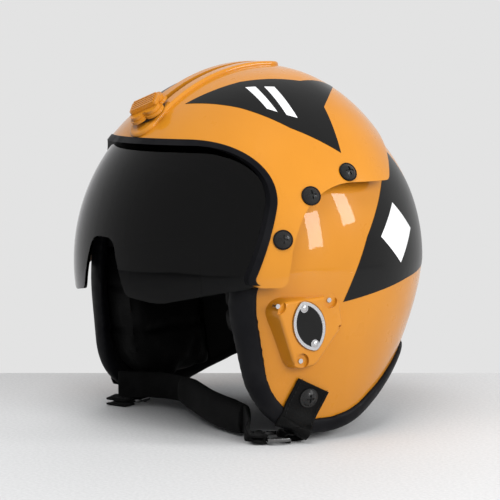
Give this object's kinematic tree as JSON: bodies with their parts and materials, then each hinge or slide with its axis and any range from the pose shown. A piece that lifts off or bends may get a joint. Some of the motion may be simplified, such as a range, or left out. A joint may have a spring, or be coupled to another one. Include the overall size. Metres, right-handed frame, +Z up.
{
  "type": "pilot flight helmet",
  "caption": "Open-face pilot helmet with a smoked visor that swings up under a housing, rubber edge trim, energy liner, pads and a chin strap on two rings.",
  "frame": {"origin": "centre of the bounding box at the surface that the rim stands on", "axes": "+X to the wearer's left, -Y the front of the face opening, +Z up"},
  "size_m": [0.2484, 0.2663, 0.2669],
  "materials": {
    "paint": "gloss clear-coated paint",
    "trim_rubber": "satin",
    "smoke_lens": "polished smoke tint",
    "plate_metal": "satin",
    "black_metal": "black oxide, satin",
    "bright_metal": "polished",
    "ring_metal": "dark nickel",
    "liner_foam": "matt",
    "pad_leather": "soft, low sheen",
    "rail_plastic": "matt",
    "strap_leather": "satin",
    "strap_fabric": "woven"
  },
  "bodies": {
    "helmet": {"badge_left": "bright_metal", "badge_right": "bright_metal", "badge_rivets": "bright_metal", "boss_pins": "bright_metal", "brow_pad": "pad_leather", "cheek_pad_left": "pad_leather", "cheek_pad_right": "pad_leather", "crown_pad": "pad_leather", "edge_trim": "trim_rubber", "energy_liner": "liner_foam", "housing_gasket": "trim_rubber", "housing_nuts": "plate_metal", "housing_screws": "black_metal", "housing_spacers": "plate_metal", "nape_roll": "pad_leather", "rear_pad": "pad_leather", "screw_washers": "trim_rubber", "shell": "paint", "strap_loop_left": "strap_fabric", "strap_loop_right": "strap_fabric", "strap_nuts": "plate_metal", "strap_ring_left": "ring_metal", "strap_ring_right": "ring_metal", "strap_screws": "black_metal", "strap_sleeve": "strap_fabric", "strap_tab_left": "strap_leather", "strap_tab_right": "strap_leather", "strap_washers": "black_metal", "strap_web": "strap_fabric", "tab_loops": "strap_leather", "visor_housing": "paint", "visor_rail_left": "rail_plastic", "visor_rail_right": "rail_plastic"},
    "visor": {"visor_lens": "smoke_lens", "visor_carrier": "plate_metal", "carrier_rivets": "plate_metal", "lock_post": "plate_metal", "knob_washer": "black_metal"},
    "knob": {"lock_knob": "paint"}
  },
  "joints": [
    {"name": "visor_hinge", "type": "hinge", "parent": "helmet", "child": "visor", "pos_m": [0, 0.008, 0.1184], "axis": [-1, 0, 0], "range_deg": [0, 38]},
    {"name": "knob_turn", "type": "hinge", "parent": "visor", "child": "knob", "pos_m": [0, -0.0894, 0.2305], "axis": [0, -0.6561, 0.7547], "range_deg": [0, 90]}
  ]
}
